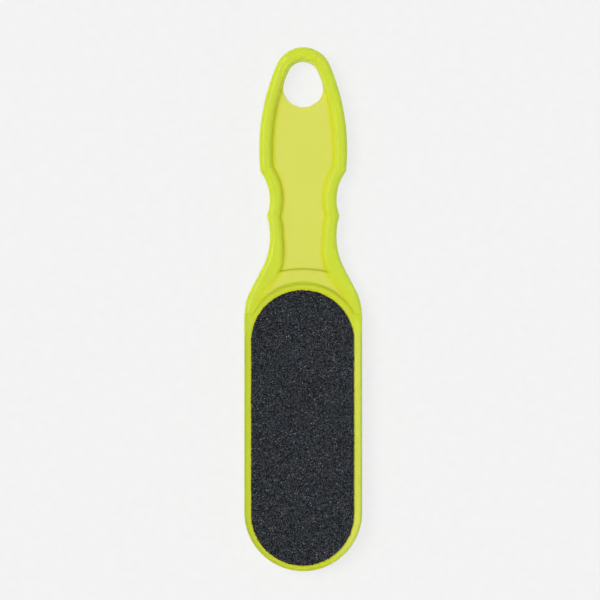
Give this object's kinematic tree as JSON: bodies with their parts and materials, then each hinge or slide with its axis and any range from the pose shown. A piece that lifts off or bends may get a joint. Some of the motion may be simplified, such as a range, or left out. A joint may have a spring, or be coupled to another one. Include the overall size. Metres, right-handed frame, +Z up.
{
  "type": "foot file",
  "caption": "Flat plastic foot file with a long rounded head that carries an abrasive pad on each face, a waisted grip and a hanging hole.",
  "frame": {"origin": "centre of the bounding box, on the plane that the tool lies on", "axes": "+X to the right across the head, +Y along the tool from the head towards the hanging hole, +Z up out of the coarse face"},
  "size_m": [0.045, 0.2, 0.007],
  "materials": {
    "grip_plastic": "moulded, translucent, satin to gloss",
    "pad_adhesive": "matte",
    "pad_backing": "matte",
    "coarse_grit": "rough, with glinting grains",
    "fine_grit": "rough, fine-grained"
  },
  "bodies": {
    "root": {"handle_body": "grip_plastic", "coarse_adhesive_film": "pad_adhesive", "coarse_backing_sheet": "pad_backing", "coarse_grit_coat": "coarse_grit", "fine_adhesive_film": "pad_adhesive", "fine_backing_sheet": "pad_backing", "fine_grit_coat": "fine_grit"}
  },
  "joints": []
}
